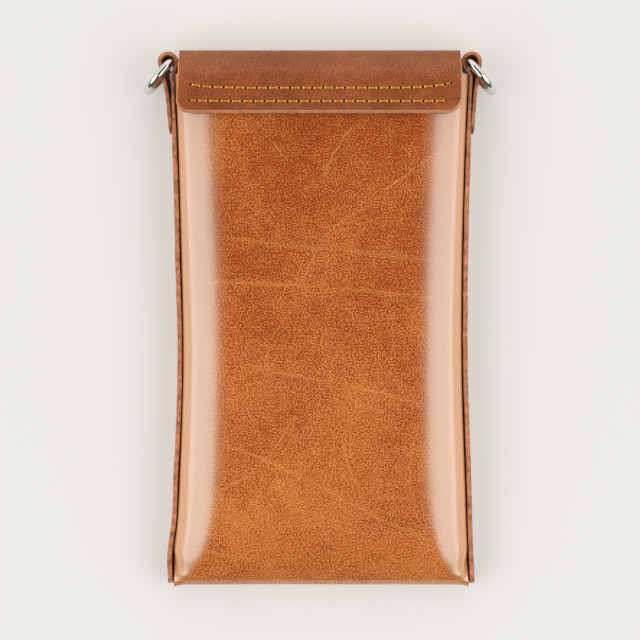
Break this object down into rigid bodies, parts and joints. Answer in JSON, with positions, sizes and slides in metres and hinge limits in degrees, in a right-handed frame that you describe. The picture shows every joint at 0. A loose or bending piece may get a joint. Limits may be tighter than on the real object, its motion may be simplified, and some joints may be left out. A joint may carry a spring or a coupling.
{
  "type": "phone pouch",
  "caption": "Slim leather phone pouch with a fold-over magnetic flap, side gussets and a strap ring held in a leather loop on each side.",
  "frame": {"origin": "centre of the bounding box's bottom face, on the surface that the pouch's back lies on", "axes": "+X to the right as the front is seen, +Y from the bottom crease to the flap's fold, +Z out of the front panel"},
  "size_m": [0.1238, 0.1877, 0.0235],
  "materials": {
    "front_leather": "semi-gloss pull-up leather, cognac",
    "gusset_leather": "satin leather with raw edges",
    "flap_leather": "satin leather, brown",
    "facing_leather": "matte flesh side",
    "magnet": "nickel plated",
    "ring_chrome": "polished",
    "thread": "waxed thread, ochre"
  },
  "bodies": {
    "pouch": {"front_panel": "front_leather", "bottom_fold": "front_leather", "back_panel": "front_leather", "left_gusset": "gusset_leather", "right_gusset": "gusset_leather", "mouth_facing": "facing_leather", "mouth_magnets": "magnet"},
    "fold": {"flap_fold": "flap_leather"},
    "flap": {"flap": "flap_leather", "flap_facing": "facing_leather", "flap_magnets": "magnet", "upper_stitches": "thread", "lower_stitches": "thread"},
    "left_ring": {"left_ring": "ring_chrome"},
    "right_ring": {"right_ring": "ring_chrome"}
  },
  "joints": [
    {"name": "flap_opens", "type": "hinge", "parent": "pouch", "child": "fold", "pos_m": [0, 0.09039, 0.00341], "axis": [-1, 0, 0], "range_deg": [0, 80]},
    {"name": "flap_uncurls", "type": "hinge", "parent": "fold", "child": "flap", "pos_m": [0, 0.09039, 0.01989], "axis": [-1, 0, 0], "range_deg": [0, 80]},
    {"name": "left_ring_swings", "type": "hinge", "parent": "pouch", "child": "left_ring", "pos_m": [-0.05281, 0.08925, 0.0094], "axis": [0, 0, -1], "range_deg": [-13, 137]},
    {"name": "right_ring_swings", "type": "hinge", "parent": "pouch", "child": "right_ring", "pos_m": [0.05161, 0.08925, 0.0094], "axis": [0, 0, 1], "range_deg": [-6, 137]}
  ],
  "couplings": [
    {"joint": "flap_uncurls", "follows": "flap_opens", "ratio": 1}
  ]
}
